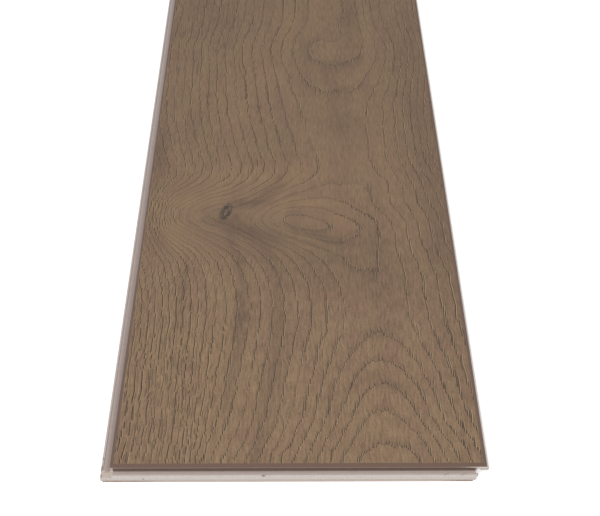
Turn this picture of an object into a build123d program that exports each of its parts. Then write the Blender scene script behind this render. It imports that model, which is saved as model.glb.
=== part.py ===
"""A floor plank: a printed film on a rigid core that clicks together on all four sides, with a pad below.

The plank lies flat, face up, with its length along Y. One long side and one short end carry a groove above
a lip that stands out under the next plank. The other two sides carry the tongue and the hook that drop
into it. The origin is at the underside, below the middle of the face between the four joints.
"""

import os
from dataclasses import dataclass

from build123d import *

# face from joint to joint, and the layers from the floor up
face_width = 228.6
face_length = 1524.0
pad_thickness = 1.0
core_thickness = 7.0
film_thickness = 0.5

# painted bevel round the face
bevel_width = 2.4
bevel_drop = 1.6

# lip that stands out below a groove, its chamfered lower corner, and its level where two lips meet
lip_reach = 5.5
lip_chamfer_width = 0.3
lip_chamfer_height = 1.2
corner_level = 3.35

# top of the tongue below the joint face, and its slope to the tip
tongue_top = 6.15
tongue_slope = 0.3

# room left between two joined planks
play = 0.1
roof_play = 0.05
ridge_headroom = 0.3
ridge_wall_room = 0.35

# undercut behind the hook, down to the pad
step_height = 4.1
undercut_height = 3.5
undercut_depth = 6.8
heel_height = 2.1
heel_depth = 7.6

# how far the pad stands out from the joints, or stays behind them
pad_out_side = 4.1
pad_out_end = 5.2
pad_behind = 9.0

# heights and places that follow from them
core_bottom = pad_thickness
film_bottom = core_bottom + core_thickness
board_top = film_bottom + film_thickness
bevel_edge = board_top - bevel_drop
film_inset = bevel_width * (1 - film_thickness / bevel_drop)
half_width = face_width / 2
half_length = face_length / 2
ridge_wall = lip_reach + ridge_wall_room


@dataclass
class Joint:
    """A groove edge and the tongue edge that locks into it, measured out from the joint and up from the floor."""

    recess: float
    lip_height: float
    ridge_foot: float
    ridge_lean: float
    ridge_top: float
    tip: float
    tip_bottom: float
    tip_rounding: float
    small_rounding: float
    large_rounding: float

    def ridge_face(self, height):
        """How far out the ridge's inner face stands at a height."""
        return self.ridge_foot + self.ridge_lean * (height - self.lip_height)

    def groove_edge(self):
        """Corners from the bevel down to the underside: out, height and rounding."""
        return [
            (-film_inset, film_bottom, 0),
            (0, bevel_edge, 0),
            (0, tongue_top + roof_play, 0),
            (-self.recess, tongue_top + roof_play - tongue_slope, self.small_rounding),
            (-self.recess, self.lip_height, self.large_rounding),
            (self.ridge_foot, self.lip_height, self.small_rounding),
            (self.ridge_face(self.ridge_top), self.ridge_top, self.small_rounding),
            (lip_reach, self.ridge_top, self.large_rounding),
            (lip_reach, core_bottom + lip_chamfer_height, self.small_rounding),
            (lip_reach - lip_chamfer_width, core_bottom, 0),
        ]

    def tongue_edge(self):
        """Corners from the bevel down to the underside: out, height and rounding."""
        hook_bottom = self.lip_height + play
        roof = self.ridge_top + ridge_headroom
        return [
            (-film_inset, film_bottom, 0),
            (0, bevel_edge, 0),
            (0, tongue_top, 0),
            (self.tip, tongue_top - tongue_slope, self.tip_rounding),
            (self.tip, self.tip_bottom, self.tip_rounding),
            (self.tip - 2 * self.large_rounding, hook_bottom, self.large_rounding),
            (play - self.ridge_face(hook_bottom), hook_bottom, self.small_rounding),
            (play - self.ridge_face(roof), roof, self.small_rounding),
            (-ridge_wall, roof, self.small_rounding),
            (-ridge_wall, step_height, 0),
            (-undercut_depth, undercut_height, self.small_rounding),
            (-undercut_depth, heel_height, self.large_rounding),
            (-heel_depth, core_bottom, 0),
        ]

    def section(self, half_face):
        """Corners round the core's section, with the groove on the low side and the tongue on the high side."""
        groove = [(-half_face - out, height, rounding) for out, height, rounding in self.groove_edge()]
        tongue = [(half_face + out, height, rounding) for out, height, rounding in self.tongue_edge()]
        return groove + tongue[::-1]


# The sides go together at an angle, so the ridge leans out. The ends are pressed straight down.
side_joint = Joint(
    recess=1.35,
    lip_height=3.65,
    ridge_foot=3.85,
    ridge_lean=0.55,
    ridge_top=4.5,
    tip=1.2,
    tip_bottom=4.4,
    tip_rounding=0.45,
    small_rounding=0.2,
    large_rounding=0.5,
)
end_joint = Joint(
    recess=1.0,
    lip_height=3.5,
    ridge_foot=3.3,
    ridge_lean=0.08,
    ridge_top=5.0,
    tip=0.35,
    tip_bottom=5.1,
    tip_rounding=0.25,
    small_rounding=0.15,
    large_rounding=0.4,
)

# rigid core: what the side section and the end section have in common
sections = [
    (Plane.XZ, side_joint.section(half_width), half_length + 2 * lip_reach, Mode.ADD),
    (Plane.YZ, end_joint.section(half_length), half_width + 2 * lip_reach, Mode.INTERSECT),
]
with BuildPart() as core:
    for plane, corners, reach, mode in sections:
        with BuildSketch(plane) as section:
            with BuildLine():
                Polyline(*[(across, height) for across, height, _ in corners], close=True)
            make_face()
            for across, height, rounding in corners:
                if rounding:
                    fillet(section.vertices().sort_by_distance((across, height))[0], rounding)
        extrude(amount=reach, both=True, mode=mode)
    # corners where one lip meets the other lip or the hook are cut down level
    corner_cuts = [
        (-half_width - lip_reach, -half_width, -half_length - lip_reach, -half_length),
        (half_width - ridge_wall, half_width + lip_reach, -half_length - lip_reach, -half_length),
        (-half_width - lip_reach, -half_width, half_length - ridge_wall, half_length + lip_reach),
    ]
    for left, right, near, far in corner_cuts:
        with Locations(((left + right) / 2, (near + far) / 2, corner_level)):
            Box(
                right - left,
                far - near,
                bevel_edge - corner_level,
                align=(Align.CENTER, Align.CENTER, Align.MIN),
                mode=Mode.SUBTRACT,
            )
core.part.label = "core"

# printed film with its clear wear layer, and the upper part of the bevel round it
with BuildPart() as decor_layer:
    for height, inset in [(film_bottom, film_inset), (board_top, bevel_width)]:
        with BuildSketch(Plane.XY.offset(height)):
            Rectangle(face_width - 2 * inset, face_length - 2 * inset)
    loft()
decor_layer.part.label = "decor_layer"

# pad under the core, short of its edges
pad_width = face_width + pad_out_side - pad_behind
pad_length = face_length + pad_out_end - pad_behind
with BuildPart() as underlay_pad:
    with BuildSketch(Plane.XY):
        with Locations((-(pad_out_side + pad_behind) / 2, -(pad_out_end + pad_behind) / 2)):
            Rectangle(pad_width, pad_length)
    extrude(amount=pad_thickness)
underlay_pad.part.label = "underlay_pad"

os.makedirs("parts", exist_ok=True)
export_step(decor_layer.part, "parts/decor_layer.step")
export_step(core.part, "parts/core.step")
export_step(underlay_pad.part, "parts/underlay_pad.step")
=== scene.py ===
"""The looks of a click-together vinyl floor plank with an oak print.

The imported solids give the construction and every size. This script models the embossed film on top, and
gives the film, the core with its milled click edges and the foam pad their finishes. Lengths in the
print and the finishes are millimetres: across from the plank's middle line, along from its near joint,
and up from the floor.
"""

import logging
import math
from collections.abc import Iterator
from contextlib import contextmanager
from dataclasses import dataclass
from enum import Enum
from typing import Any

import bpy
import numpy as np
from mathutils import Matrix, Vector

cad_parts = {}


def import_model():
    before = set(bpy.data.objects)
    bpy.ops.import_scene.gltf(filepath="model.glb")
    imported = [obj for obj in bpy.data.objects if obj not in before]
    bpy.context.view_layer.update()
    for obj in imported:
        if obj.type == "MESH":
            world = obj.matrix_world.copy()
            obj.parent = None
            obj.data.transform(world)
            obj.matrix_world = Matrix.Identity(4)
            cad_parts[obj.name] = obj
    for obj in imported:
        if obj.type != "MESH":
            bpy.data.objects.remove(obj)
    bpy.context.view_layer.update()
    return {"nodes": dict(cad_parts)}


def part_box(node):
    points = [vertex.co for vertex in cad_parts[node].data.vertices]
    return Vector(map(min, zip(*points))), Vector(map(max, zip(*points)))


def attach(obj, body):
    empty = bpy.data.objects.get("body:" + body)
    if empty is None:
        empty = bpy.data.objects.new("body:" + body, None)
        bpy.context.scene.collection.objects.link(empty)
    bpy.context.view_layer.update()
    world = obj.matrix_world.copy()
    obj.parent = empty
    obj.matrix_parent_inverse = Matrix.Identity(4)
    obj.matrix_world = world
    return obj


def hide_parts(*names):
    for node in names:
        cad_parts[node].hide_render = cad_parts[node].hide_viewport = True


log = logging.getLogger("plank")

Colour = tuple[float, float, float, float]
Span = tuple[float, float]
MM = 0.001
HALF_WIDTH = 114.3
HALF_LENGTH = 762.0
WHITE: Colour = (1.0, 1.0, 1.0, 1.0)


class Part(Enum):
    """The pieces of the plank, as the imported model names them."""

    FILM = "decor_layer"
    CORE = "core"
    PAD = "underlay_pad"


def paint(red: int, green: int, blue: int) -> Colour:
    """Turns a colour as seen on a screen into the linear one that a shader takes, by the sRGB curve.

    Args:
        red: Red from 0 to 255.
        green: Green from 0 to 255.
        blue: Blue from 0 to 255.

    Returns:
        Linear red, green, blue and a full alpha.
    """
    shares = [value / 255 for value in (red, green, blue)]
    linear = [s / 12.92 if s <= 0.04045 else ((s + 0.055) / 1.055) ** 2.4 for s in shares]
    return (linear[0], linear[1], linear[2], 1.0)


class Value:
    """A number in a shader that Python arithmetic can be done on: each operator adds a Math node."""

    def __init__(self, recipe: "Recipe", socket: bpy.types.NodeSocket) -> None:
        """Wraps an output socket of a node in the recipe."""
        self.recipe = recipe
        self.socket = socket

    def maths(self, operation: str, *others: Any) -> "Value":
        """Adds one Math node that starts from this value."""
        return self.recipe.maths(operation, self, *others)

    def __add__(self, other: Any) -> "Value":
        """Sum."""
        return self.maths("ADD", other)

    def __radd__(self, other: Any) -> "Value":
        """Sum with a plain number on the left."""
        return self.maths("ADD", other)

    def __sub__(self, other: Any) -> "Value":
        """Difference."""
        return self.maths("SUBTRACT", other)

    def __rsub__(self, other: Any) -> "Value":
        """Difference with a plain number on the left."""
        return self.recipe.maths("SUBTRACT", other, self)

    def __mul__(self, other: Any) -> "Value":
        """Product."""
        return self.maths("MULTIPLY", other)

    def __rmul__(self, other: Any) -> "Value":
        """Product with a plain number on the left."""
        return self.maths("MULTIPLY", other)

    def __truediv__(self, other: Any) -> "Value":
        """Quotient."""
        return self.maths("DIVIDE", other)

    def __abs__(self) -> "Value":
        """Size without its sign."""
        return self.maths("ABSOLUTE")

    def whole(self) -> "Value":
        """The whole number below this value."""
        return self.maths("FLOOR")

    def fraction(self) -> "Value":
        """What this value has above its whole number."""
        return self.maths("FRACT")

    def root(self) -> "Value":
        """Square root."""
        return self.maths("SQRT")

    def at_least(self, other: Any) -> "Value":
        """The higher of two values."""
        return self.maths("MAXIMUM", other)

    def at_most(self, other: Any) -> "Value":
        """The lower of two values."""
        return self.maths("MINIMUM", other)

    def ramp(self, start: Any, end: Any) -> "Value":
        """Goes smoothly from 0 to 1 while this value goes from start to end.

        Args:
            start: Where the ramp is 0.
            end: Where the ramp is 1, which may be the lower of the two.

        Returns:
            A share from 0 to 1.
        """
        settings = {"interpolation_type": "SMOOTHSTEP"}
        inputs = {"Value": self, "From Min": start, "From Max": end}
        return self.recipe.node("ShaderNodeMapRange", settings, inputs)

    def between(self, low: float, high: float, soft: float) -> "Value":
        """Is 1 from low to high and fades out over a soft margin on both sides."""
        return self.ramp(low - soft, low) * self.ramp(high + soft, high)


class Recipe:
    """The shader nodes of one finish."""

    def __init__(self, owner: bpy.types.Material | bpy.types.World) -> None:
        """Starts with an empty set of nodes.

        Args:
            owner: The material or world that the nodes belong to.
        """
        owner.use_nodes = True
        self.owner = owner
        self.tree = owner.node_tree
        self.tree.nodes.clear()

    def node(
        self,
        kind: str,
        settings: dict[str, Any] | None = None,
        inputs: dict[str | int, Any] | None = None,
        output: str | int = 0,
    ) -> Value:
        """Adds a node.

        Args:
            kind: The node's type.
            settings: Its own settings, set before its sockets.
            inputs: What goes into its sockets: a Value to link, or a plain number, colour or vector.
            output: The output socket that is wanted.

        Returns:
            That output.
        """
        made = self.tree.nodes.new(kind)
        for name, setting in (settings or {}).items():
            setattr(made, name, setting)
        for name, value in (inputs or {}).items():
            if isinstance(value, Value):
                self.tree.links.new(value.socket, made.inputs[name])
            else:
                made.inputs[name].default_value = value
        return Value(self, made.outputs[output])

    def maths(self, operation: str, *values: Any) -> Value:
        """Adds a Math node."""
        return self.node("ShaderNodeMath", {"operation": operation}, dict(enumerate(values)))

    def axes(self, vector: Value) -> tuple[Value, Value, Value]:
        """Splits a vector or a colour into its three parts."""
        split = self.node("ShaderNodeSeparateXYZ", inputs={"Vector": vector}).socket.node
        return tuple(Value(self, socket) for socket in split.outputs)

    def place(self) -> tuple[Value, Value, Value]:
        """Where the surface is: across, along and up in millimetres."""
        x, y, z = self.axes(self.node("ShaderNodeTexCoord", output="Object"))
        return x / MM, y / MM + HALF_LENGTH, z / MM

    def attribute(self, name: str) -> tuple[Value, Value, Value]:
        """The three numbers that the mesh holds under that name."""
        return self.axes(self.node("ShaderNodeAttribute", {"attribute_name": name}, output="Vector"))

    def join(self, x: Any, y: Any, z: Any = 0.0) -> Value:
        """Makes a vector of three values."""
        return self.node("ShaderNodeCombineXYZ", inputs={"X": x, "Y": y, "Z": z})

    def noise(self, vector: Value, detail: float = 1.0) -> Value:
        """Noise from 0 to 1 whose grains are about one unit of the vector."""
        inputs = {"Vector": vector, "Scale": 1.0, "Detail": detail}
        return self.node("ShaderNodeTexNoise", {"noise_dimensions": "3D"}, inputs)

    def chances(self, first: Value, second: Any = 0.0) -> tuple[Value, Value, Value]:
        """Three numbers from 0 to 1 that jump wherever one of two whole numbers changes."""
        inputs = {"Vector": self.join(first, second)}
        return self.axes(self.node("ShaderNodeTexWhiteNoise", {"noise_dimensions": "2D"}, inputs, "Color"))

    def mix(self, share: Any, first: Any, second: Any) -> Value:
        """Mixes two colours: all first at 0, all second at 1."""
        return self.node("ShaderNodeMix", {"data_type": "RGBA"}, {0: share, 6: first, 7: second}, 2)

    def scale(self, colour: Value, amount: Value) -> Value:
        """Makes a colour lighter or darker without changing its hue."""
        settings = {"operation": "SCALE"}
        return self.node("ShaderNodeVectorMath", settings, {"Vector": colour, "Scale": amount})

    def bump(self, height: Value, depth: float) -> Value:
        """Turns a height from 0 to 1 into a surface direction, with the full depth in millimetres."""
        return self.node("ShaderNodeBump", inputs={"Height": height, "Distance": depth * MM})

    def principled(self, **sockets: Any) -> None:
        """Ends the recipe in one Principled shader, whose sockets are named with _ for a space."""
        inputs = {name.replace("_", " "): value for name, value in sockets.items()}
        self.show(self.node("ShaderNodeBsdfPrincipled", inputs=inputs))

    def ray(self, output: str) -> Value:
        """What the Light Path node says of the ray that meets the surface."""
        return self.node("ShaderNodeLightPath", output=output)

    def show(self, shader: Value) -> None:
        """Connects a shader to the output.

        Args:
            shader: The finished shader.
        """
        kind = "World" if isinstance(self.owner, bpy.types.World) else "Material"
        output = self.tree.nodes.new("ShaderNodeOutput" + kind)
        self.tree.links.new(shader.socket, output.inputs["Surface"])


@dataclass(frozen=True)
class Grain:
    """Noise over the face, with grains so long across and along. Each layer number gives other noise."""

    across: float
    along: float
    layer: float
    detail: float = 1.0

    def on(self, recipe: Recipe, x: Value, y: Value) -> Value:
        """The noise at each place, from 0 to 1."""
        return recipe.noise(recipe.join(x / self.across, y / self.along, self.layer), self.detail)


@dataclass(frozen=True)
class Lumps:
    """Noise through a solid, with grains so long across, along and up."""

    across: float
    along: float
    up: float
    detail: float = 1.0

    def on(self, recipe: Recipe, x: Value, y: Value, z: Value) -> Value:
        """The noise at each place, from 0 to 1."""
        return recipe.noise(recipe.join(x / self.across, y / self.along, z / self.up), self.detail)


@dataclass(frozen=True)
class Window:
    """A stretch of the face with soft edges."""

    left: float
    right: float
    near: float
    far: float
    soft_across: float
    soft_along: float

    def on(self, x: Value, y: Value) -> Value:
        """Is 1 inside the stretch and fades to 0 over its soft edges."""
        across = x.between(self.left, self.right, self.soft_across)
        return across * y.between(self.near, self.far, self.soft_along)


@dataclass(frozen=True)
class Hump:
    """A smooth hump of height 1 along one axis, which reaches as far as before and after say."""

    middle: float
    before: float
    after: float = 0.0

    def at(self, place: np.ndarray) -> np.ndarray:
        """The hump's height at each place."""
        reach = np.where(place < self.middle, self.before, self.after or self.before)
        return np.exp(-(((place - self.middle) / reach) ** 2))


@dataclass(frozen=True)
class Step:
    """A smooth step along one axis, from 0 at start to 1 at end, which may be the lower."""

    start: float
    end: float

    def at(self, place: np.ndarray) -> np.ndarray:
        """The step's height at each place."""
        share = np.clip((place - self.start) / (self.end - self.start), 0, 1)
        return share * share * (3 - 2 * share)


@dataclass(frozen=True)
class Swell:
    """An amount that comes in where its profile along the plank is high."""

    amount: float
    along: Hump | Step

    def at(self, along: np.ndarray) -> np.ndarray:
        """How much comes in at each place along the plank."""
        return self.amount * self.along.at(along)


@dataclass(frozen=True)
class Bend:
    """An amount that comes in where its profiles along and across the plank are both high."""

    amount: float
    along: Hump | Step
    across: Hump | Step

    def at(self, across: np.ndarray, along: np.ndarray) -> np.ndarray:
        """How much comes in at each place."""
        return self.amount * self.along.at(along) * self.across.at(across)


def all_of(swells: tuple[Swell, ...], along: np.ndarray) -> np.ndarray:
    """The swells together at each place along the plank."""
    return sum(swell.at(along) for swell in swells)


def lower_of(first: np.ndarray, second: np.ndarray, blend: float) -> np.ndarray:
    """The lower of two heights, rounded where they cross."""
    return -blend * np.logaddexp(-first / blend, -second / blend)


def beyond(place: np.ndarray, blend: float) -> np.ndarray:
    """How far each place is beyond 0, and 0 before it, rounded in between."""
    return blend * np.logaddexp(0, place / blend)


@dataclass(frozen=True)
class GrowthRings:
    """The growth rings of a flat-sawn oak board, as level lines of a ring number.

    A cathedral opens at the near end. Further on the rings part round a knot and close in an eye beside
    it, then in a swirl, and a second cathedral opens at the far end.
    """

    # the knot pushes the wood aside, less far on its left than on its right
    knot_across: float = -53.0
    knot_along: float = 328.0
    knot_reach: float = 30.0
    knot_reach_left: float = 22.0
    knot_push: float = 0.85

    # the rings gather at the knot, and the edge beside it holds them back
    gather: Bend = Bend(36, Hump(325, 40, 38), Hump(-12, 400, 64))
    edge_hold: Step = Step(-112, -88)
    edge_share: float = 0.15

    # they lean aside at the eye, beyond it, before the swirl and at the near left corner
    leans: tuple[Bend, ...] = (
        Bend(5, Hump(316, 50, 34), Hump(0, 30, 50)),
        Bend(-5, Hump(405, 35), Step(60, 20)),
        Bend(7, Hump(520, 55), Step(40, 0)),
        Bend(-9, Hump(-10, 80), Step(-50, -80)),
    )

    # rings under the face along the heart line: the near cathedral climbs to a level stretch, which the
    # eye and the swirl dip into, and the far cathedral comes down again
    near_height: float = 0.35
    near_spacing: float = 32.0
    near_dip: Swell = Swell(-0.2, Hump(75, 25))
    level_height: float = 5.35
    level_rise: Swell = Swell(1, Step(230, 400))
    dips: tuple[Swell, ...] = (
        Swell(-2.0, Hump(312, 28, 27)),
        Swell(-1.2, Hump(312, 70, 52)),
        Swell(-1.05, Step(510, 600)),
        Swell(-0.6, Hump(632, 32, 40)),
        Swell(1.9, Step(780, 900)),
    )
    far_height: float = 0.4
    far_apex: float = 1540.0
    far_spacing: float = 92.0
    height_blend: float = 0.25

    # where the heart line runs across the plank
    heart_across: float = 55.0
    heart_swerves: tuple[Swell, ...] = (
        Swell(-20, Step(180, 380)),
        Swell(5, Hump(376, 30)),
        Swell(-5, Hump(295, 40)),
        Swell(-38, Step(820, 1120)),
    )

    # rings for each millimetre out from the heart line
    pace: float = 0.135
    pace_swells: tuple[Swell, ...] = (Swell(-0.01, Hump(-20, 60)), Swell(-0.005, Hump(640, 100)))

    # how far out from the heart line the rings' crowns are flat
    crown_least: float = 0.01
    crown_swells: tuple[Swell, ...] = (
        Swell(42, Hump(-10, 55)),
        Swell(18, Hump(365, 30)),
        Swell(30, Hump(640, 120, 60)),
        Swell(24, Step(1000, 1500)),
    )

    # the rings crowd towards the long edges, by so many more for each millimetre
    left_crowd_from: float = -62.0
    left_crowd: float = 0.018
    left_crowd_near: Swell = Swell(0.072, Step(450, 100))
    right_crowd_from: float = 84.0
    right_crowd_far: Swell = Swell(0.07, Step(300, 450))
    crowd_blend: float = 6.0

    # the swirl opens in a narrow neck, and has a dent beside it
    neck_start: Step = Step(625, 690)
    neck_end: Step = Step(860, 780)
    neck: Hump = Hump(54, 10)
    dent: Bend = Bend(0.35, Hump(664, 12), Hump(34, 9))

    def unpushed(self, across: np.ndarray, along: np.ndarray) -> np.ndarray:
        """Undoes the pushes of the knot and the leans of the rings.

        Args:
            across: Where each place is across the plank.
            along: Where each place is along the plank.

        Returns:
            How far across the wood of each place would be in a board that grew straight.
        """
        reach = np.where(across < self.knot_across, self.knot_reach_left, self.knot_reach)
        out = (across - self.knot_across) / reach
        up = (along - self.knot_along) / self.knot_reach
        push = self.knot_push * np.exp(-(out**2 + up**2))
        across = self.knot_across + (across - self.knot_across) * (1 - push)
        held = self.edge_share + (1 - self.edge_share) * self.edge_hold.at(across)
        across = across + self.gather.at(across, along) * held
        for lean in self.leans:
            across = across + lean.at(across, along)
        return across

    def height(self, along: np.ndarray) -> np.ndarray:
        """Works out how high the face lies above the board's heart.

        Args:
            along: Where each place is along the plank.

        Returns:
            How many rings there are below the face along the heart line.
        """
        near = self.near_height + along / self.near_spacing + self.near_dip.at(along)
        level = self.level_height + self.level_rise.at(along)
        height = lower_of(near, level, self.height_blend) + all_of(self.dips, along)
        far = self.far_height + (self.far_apex - along) / self.far_spacing
        return lower_of(height, far, self.height_blend)

    def crowding(self, across: np.ndarray, along: np.ndarray) -> np.ndarray:
        """Works out how many more rings the crowding towards the long edges adds.

        Args:
            across: Where each place is across the straight-grown board.
            along: Where each place is along the plank.

        Returns:
            The rings to add at each place.
        """
        left = self.left_crowd + self.left_crowd_near.at(along)
        left = left * beyond(self.left_crowd_from - across, self.crowd_blend)
        right = self.right_crowd_far.at(along)
        return left + right * beyond(across - self.right_crowd_from, self.crowd_blend)

    def number(self, across: np.ndarray, along: np.ndarray) -> np.ndarray:
        """Numbers the growth rings out from the board's heart. A whole number is a pore line.

        Args:
            across: Where each place is across the plank.
            along: Where each place is along the plank.

        Returns:
            The ring number at each place.
        """
        neck = self.neck_start.at(along) * self.neck_end.at(along) * self.neck.at(across)
        dent = self.dent.at(across, along)
        across = self.unpushed(across, along)
        out = across - self.heart_across - all_of(self.heart_swerves, along)
        pace = self.pace + all_of(self.pace_swells, along)
        crown = self.crown_least + all_of(self.crown_swells, along)
        side = pace * out * np.abs(out) / np.sqrt(out**2 + crown**2)
        rings = np.sqrt(side**2 + self.height(along) ** 2)
        return rings + self.crowding(across, along) + dent - neck


@dataclass(frozen=True)
class Patch:
    """A soft oval in the print that leans by so much across for each millimetre along."""

    across: float
    along: float
    half_width: float
    half_length: float
    amount: float
    lean: float = 0.0

    def share(self, across: np.ndarray, along: np.ndarray) -> np.ndarray:
        """Works out how strong the patch is.

        Args:
            across: Where each place is across the plank.
            along: Where each place is along the plank.

        Returns:
            The patch's amount at each place.
        """
        up = along - self.along
        out = across - self.across - self.lean * up
        return self.amount * np.exp(-((out / self.half_width) ** 2) - (up / self.half_length) ** 2)


# darker wood: bands from the knot to the near end, the eye's rim, the crowns of the rings, both long
# edges, and bands in the far half
DARK_PATCHES = (
    Patch(-54, 318, 11, 16, 0.6),
    Patch(-28, 292, 26, 22, 0.45, -0.6),
    Patch(-36, 342, 14, 6, 0.8, 0.6),
    Patch(-22, 358, 6, 14, 0.65, 0.6),
    Patch(-40, 296, 14, 18, 0.4, -0.5),
    Patch(-20, 255, 7, 30, 0.5, -0.25),
    Patch(-11, 180, 6, 50, 0.55),
    Patch(-17, 95, 6, 45, 0.6, 0.08),
    Patch(-25, 15, 5, 40, 0.55, 0.08),
    Patch(-44, 258, 4, 30, 0.7, -0.15),
    Patch(-39, 180, 4, 50, 0.85),
    Patch(-44, 95, 4, 40, 0.6, 0.08),
    Patch(12, 292, 13, 13, 0.65, -1.0),
    Patch(29, 280, 10, 9, 0.5),
    Patch(20, 248, 28, 34, 0.5),
    Patch(52, 300, 9, 45, 0.35),
    Patch(-12, 385, 4, 14, 0.4, 0.3),
    Patch(62, 240, 20, 50, 0.4),
    Patch(107, 280, 14, 150, 0.5),
    Patch(-76, 112, 9, 6, 0.5),
    Patch(-33, 172, 9, 5, 0.5),
    Patch(-80, 200, 3, 50, 0.5),
    Patch(-82, 480, 12, 40, 0.25),
    Patch(-110, 420, 7, 55, 0.8),
    Patch(-14, 450, 14, 50, 0.3),
    Patch(36, 484, 20, 30, 0.45),
    Patch(30, 580, 22, 40, 0.25),
    Patch(-75, 720, 34, 90, 0.35),
    Patch(104, 560, 24, 220, 0.5),
    Patch(38, 608, 20, 8, 0.35),
    Patch(40, 552, 14, 6, 0.25),
    Patch(50, 715, 8, 50, 0.6),
    Patch(6, 640, 5, 50, 0.3),
    Patch(52, 150, 12, 6, 0.6),
    Patch(60, 90, 7, 18, 0.4, -0.7),
    Patch(38, 90, 7, 14, 0.4, 0.7),
    Patch(-60, 1010, 10, 120, 0.5),
    Patch(70, 1120, 16, 90, 0.5, 0.1),
    Patch(-90, 1330, 12, 130, 0.4),
    Patch(10, 890, 18, 40, 0.4),
)

# lighter, yellower wood: round the knot and beyond it, in the eye, at the near end and in the far half
PALE_PATCHES = (
    Patch(-88, 290, 10, 30, 0.6, -0.3),
    Patch(-84, 345, 26, 12, 0.8),
    Patch(-62, 378, 22, 20, 0.5),
    Patch(-12, 388, 34, 20, 0.9),
    Patch(8, 344, 30, 8, 0.8),
    Patch(34, 312, 6, 20, 0.7),
    Patch(-42, 328, 12, 3, 0.8),
    Patch(-88, 150, 26, 130, 0.4),
    Patch(0, 60, 120, 100, 0.4),
    Patch(-33, 570, 14, 30, 0.5),
    Patch(-4, 690, 7, 36, 0.8, 0.2),
    Patch(72, 380, 8, 80, 0.4),
    Patch(-60, 520, 20, 50, 0.3),
    Patch(-55, 140, 22, 110, 0.3),
    Patch(30, 960, 30, 90, 0.4),
    Patch(-20, 1250, 40, 120, 0.4),
    Patch(80, 1400, 20, 90, 0.4),
)

# plain wood in which the pore lines fade out: beyond the eye, in the swirl and round the knot
BARE_PATCHES = (
    Patch(25, 470, 45, 70, 0.5),
    Patch(35, 630, 30, 40, 0.3),
    Patch(48, 378, 24, 12, 0.7),
    Patch(-76, 324, 13, 18, 1.2),
    Patch(-100, 326, 12, 26, 1.1),
    Patch(-38, 318, 13, 11, 1.4),
    Patch(-62, 326, 20, 11, 1.5),
)


def patched(patches: tuple[Patch, ...], across: np.ndarray, along: np.ndarray) -> np.ndarray:
    """The patches together at each place."""
    return sum(patch.share(across, along) for patch in patches)


@dataclass(frozen=True)
class BevelPaint:
    """The brown paint on the bevel round the face. The near end's is darker than the sides', as painted
    shade where that slope faces the key lamp, and the right side's is lighter than the left's.
    """

    # painted shade: the near end's slope faces the key lamp, so its paint is darker
    near_end: Colour = paint(110, 88, 76)
    left_side: Colour = paint(118, 96, 85)
    right_side: Colour = paint(126, 103, 91)
    mitre: Span = (-0.1, 0.1)
    left_to_right: Span = (-100, 100)

    def along_side(self, x: Value, y: Value) -> Value:
        """Is 1 on the bevels of the long sides and 0 on the near end's, with a mitre between."""
        return (y - HALF_WIDTH + abs(x)).ramp(*self.mitre)

    def over(self, recipe: Recipe, share: Value, below: Value, x: Value, y: Value) -> Value:
        """Paints over a colour where share is 1."""
        side = recipe.mix(x.ramp(*self.left_to_right), self.left_side, self.right_side)
        return recipe.mix(share, below, recipe.mix(self.along_side(x, y), self.near_end, side))


@dataclass(frozen=True)
class Wood:
    """What the oak finish knows of each place on the face, and the recipe that its nodes are in.

    x, y and z say where it is. The ring number climbs by climb for each millimetre along and drifts by
    drift for each one across. crowd is the number of rings to the millimetre, and slow is 1 where the
    rings run across the plank and 0 where they run along it. busy is over 0 where pores stand close and
    below 0 on plain wood, and tufted is 1 where pore lines fray.

    Pores that are cut lengthwise lie in columns along the plank. drawn is x in their wavy grid, and off
    is how far the place is from its column's middle. Each column has three chance numbers from 0 to 1:
    early, long and aside.
    """

    recipe: Recipe
    x: Value
    y: Value
    z: Value
    ring: Value
    climb: Value
    drift: Value
    crowd: Value
    slow: Value
    busy: Value
    tufted: Value
    drawn: Value
    column: Value
    off: Value
    early: Value
    long: Value
    aside: Value


@dataclass(frozen=True)
class PoreColumns:
    """The columns in which the pores lie, and the noise that bends them, the rings and single lines."""

    pitch: float = 1.05
    column_noise: Grain = Grain(20, 35, 1.0)
    column_wander: float = 5.0
    ring_noise: Grain = Grain(14, 30, 9.0, 2.0)
    ring_wander: float = 0.35
    line_noise: Grain = Grain(7, 16, 4.0)
    line_wander: float = 3.0

    # on the right of the eye each short piece of a column has its line in another place
    tufts: Window = Window(28, 60, 292, 334, 8, 10)
    tuft_length: float = 4.0
    tuft_shift: float = 7.0
    tuft_spread: float = 2.4

    def read(self, recipe: Recipe, busy: Value) -> Wood:
        """Reads the rings from the mesh, bends them a little and lays the columns over them.

        Args:
            recipe: The film's recipe.
            busy: How close pores stand at each place.

        Returns:
            All that the finish needs to know of each place.
        """
        x, y, z = recipe.place()
        ring, climb, drift = recipe.attribute("growth")
        ring = ring + (self.ring_noise.on(recipe, x, y) - 0.5) * self.ring_wander
        drawn = x + (self.column_noise.on(recipe, x, y) - 0.5) * self.column_wander
        column = (drawn / self.pitch).whole()
        off = (drawn / self.pitch - column - 0.5) * self.pitch
        early, long, aside = recipe.chances(column)
        crowd = (climb * climb + drift * drift).root()
        ring = ring + (self.line_noise.on(recipe, x, y) - 0.5) * crowd * self.line_wander
        tufted = self.tufts.on(x, y)
        tuft = (y / self.tuft_length + early * self.tuft_shift).whole()
        jump, _, _ = recipe.chances(column, tuft)
        ring = ring + (jump - 0.5) * crowd * self.tuft_spread * tufted
        slow = abs(climb) / crowd
        where = (recipe, x, y, z, ring, climb, drift, crowd, slow, busy, tufted)
        return Wood(*where, drawn, column, off, early, long, aside)


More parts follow.
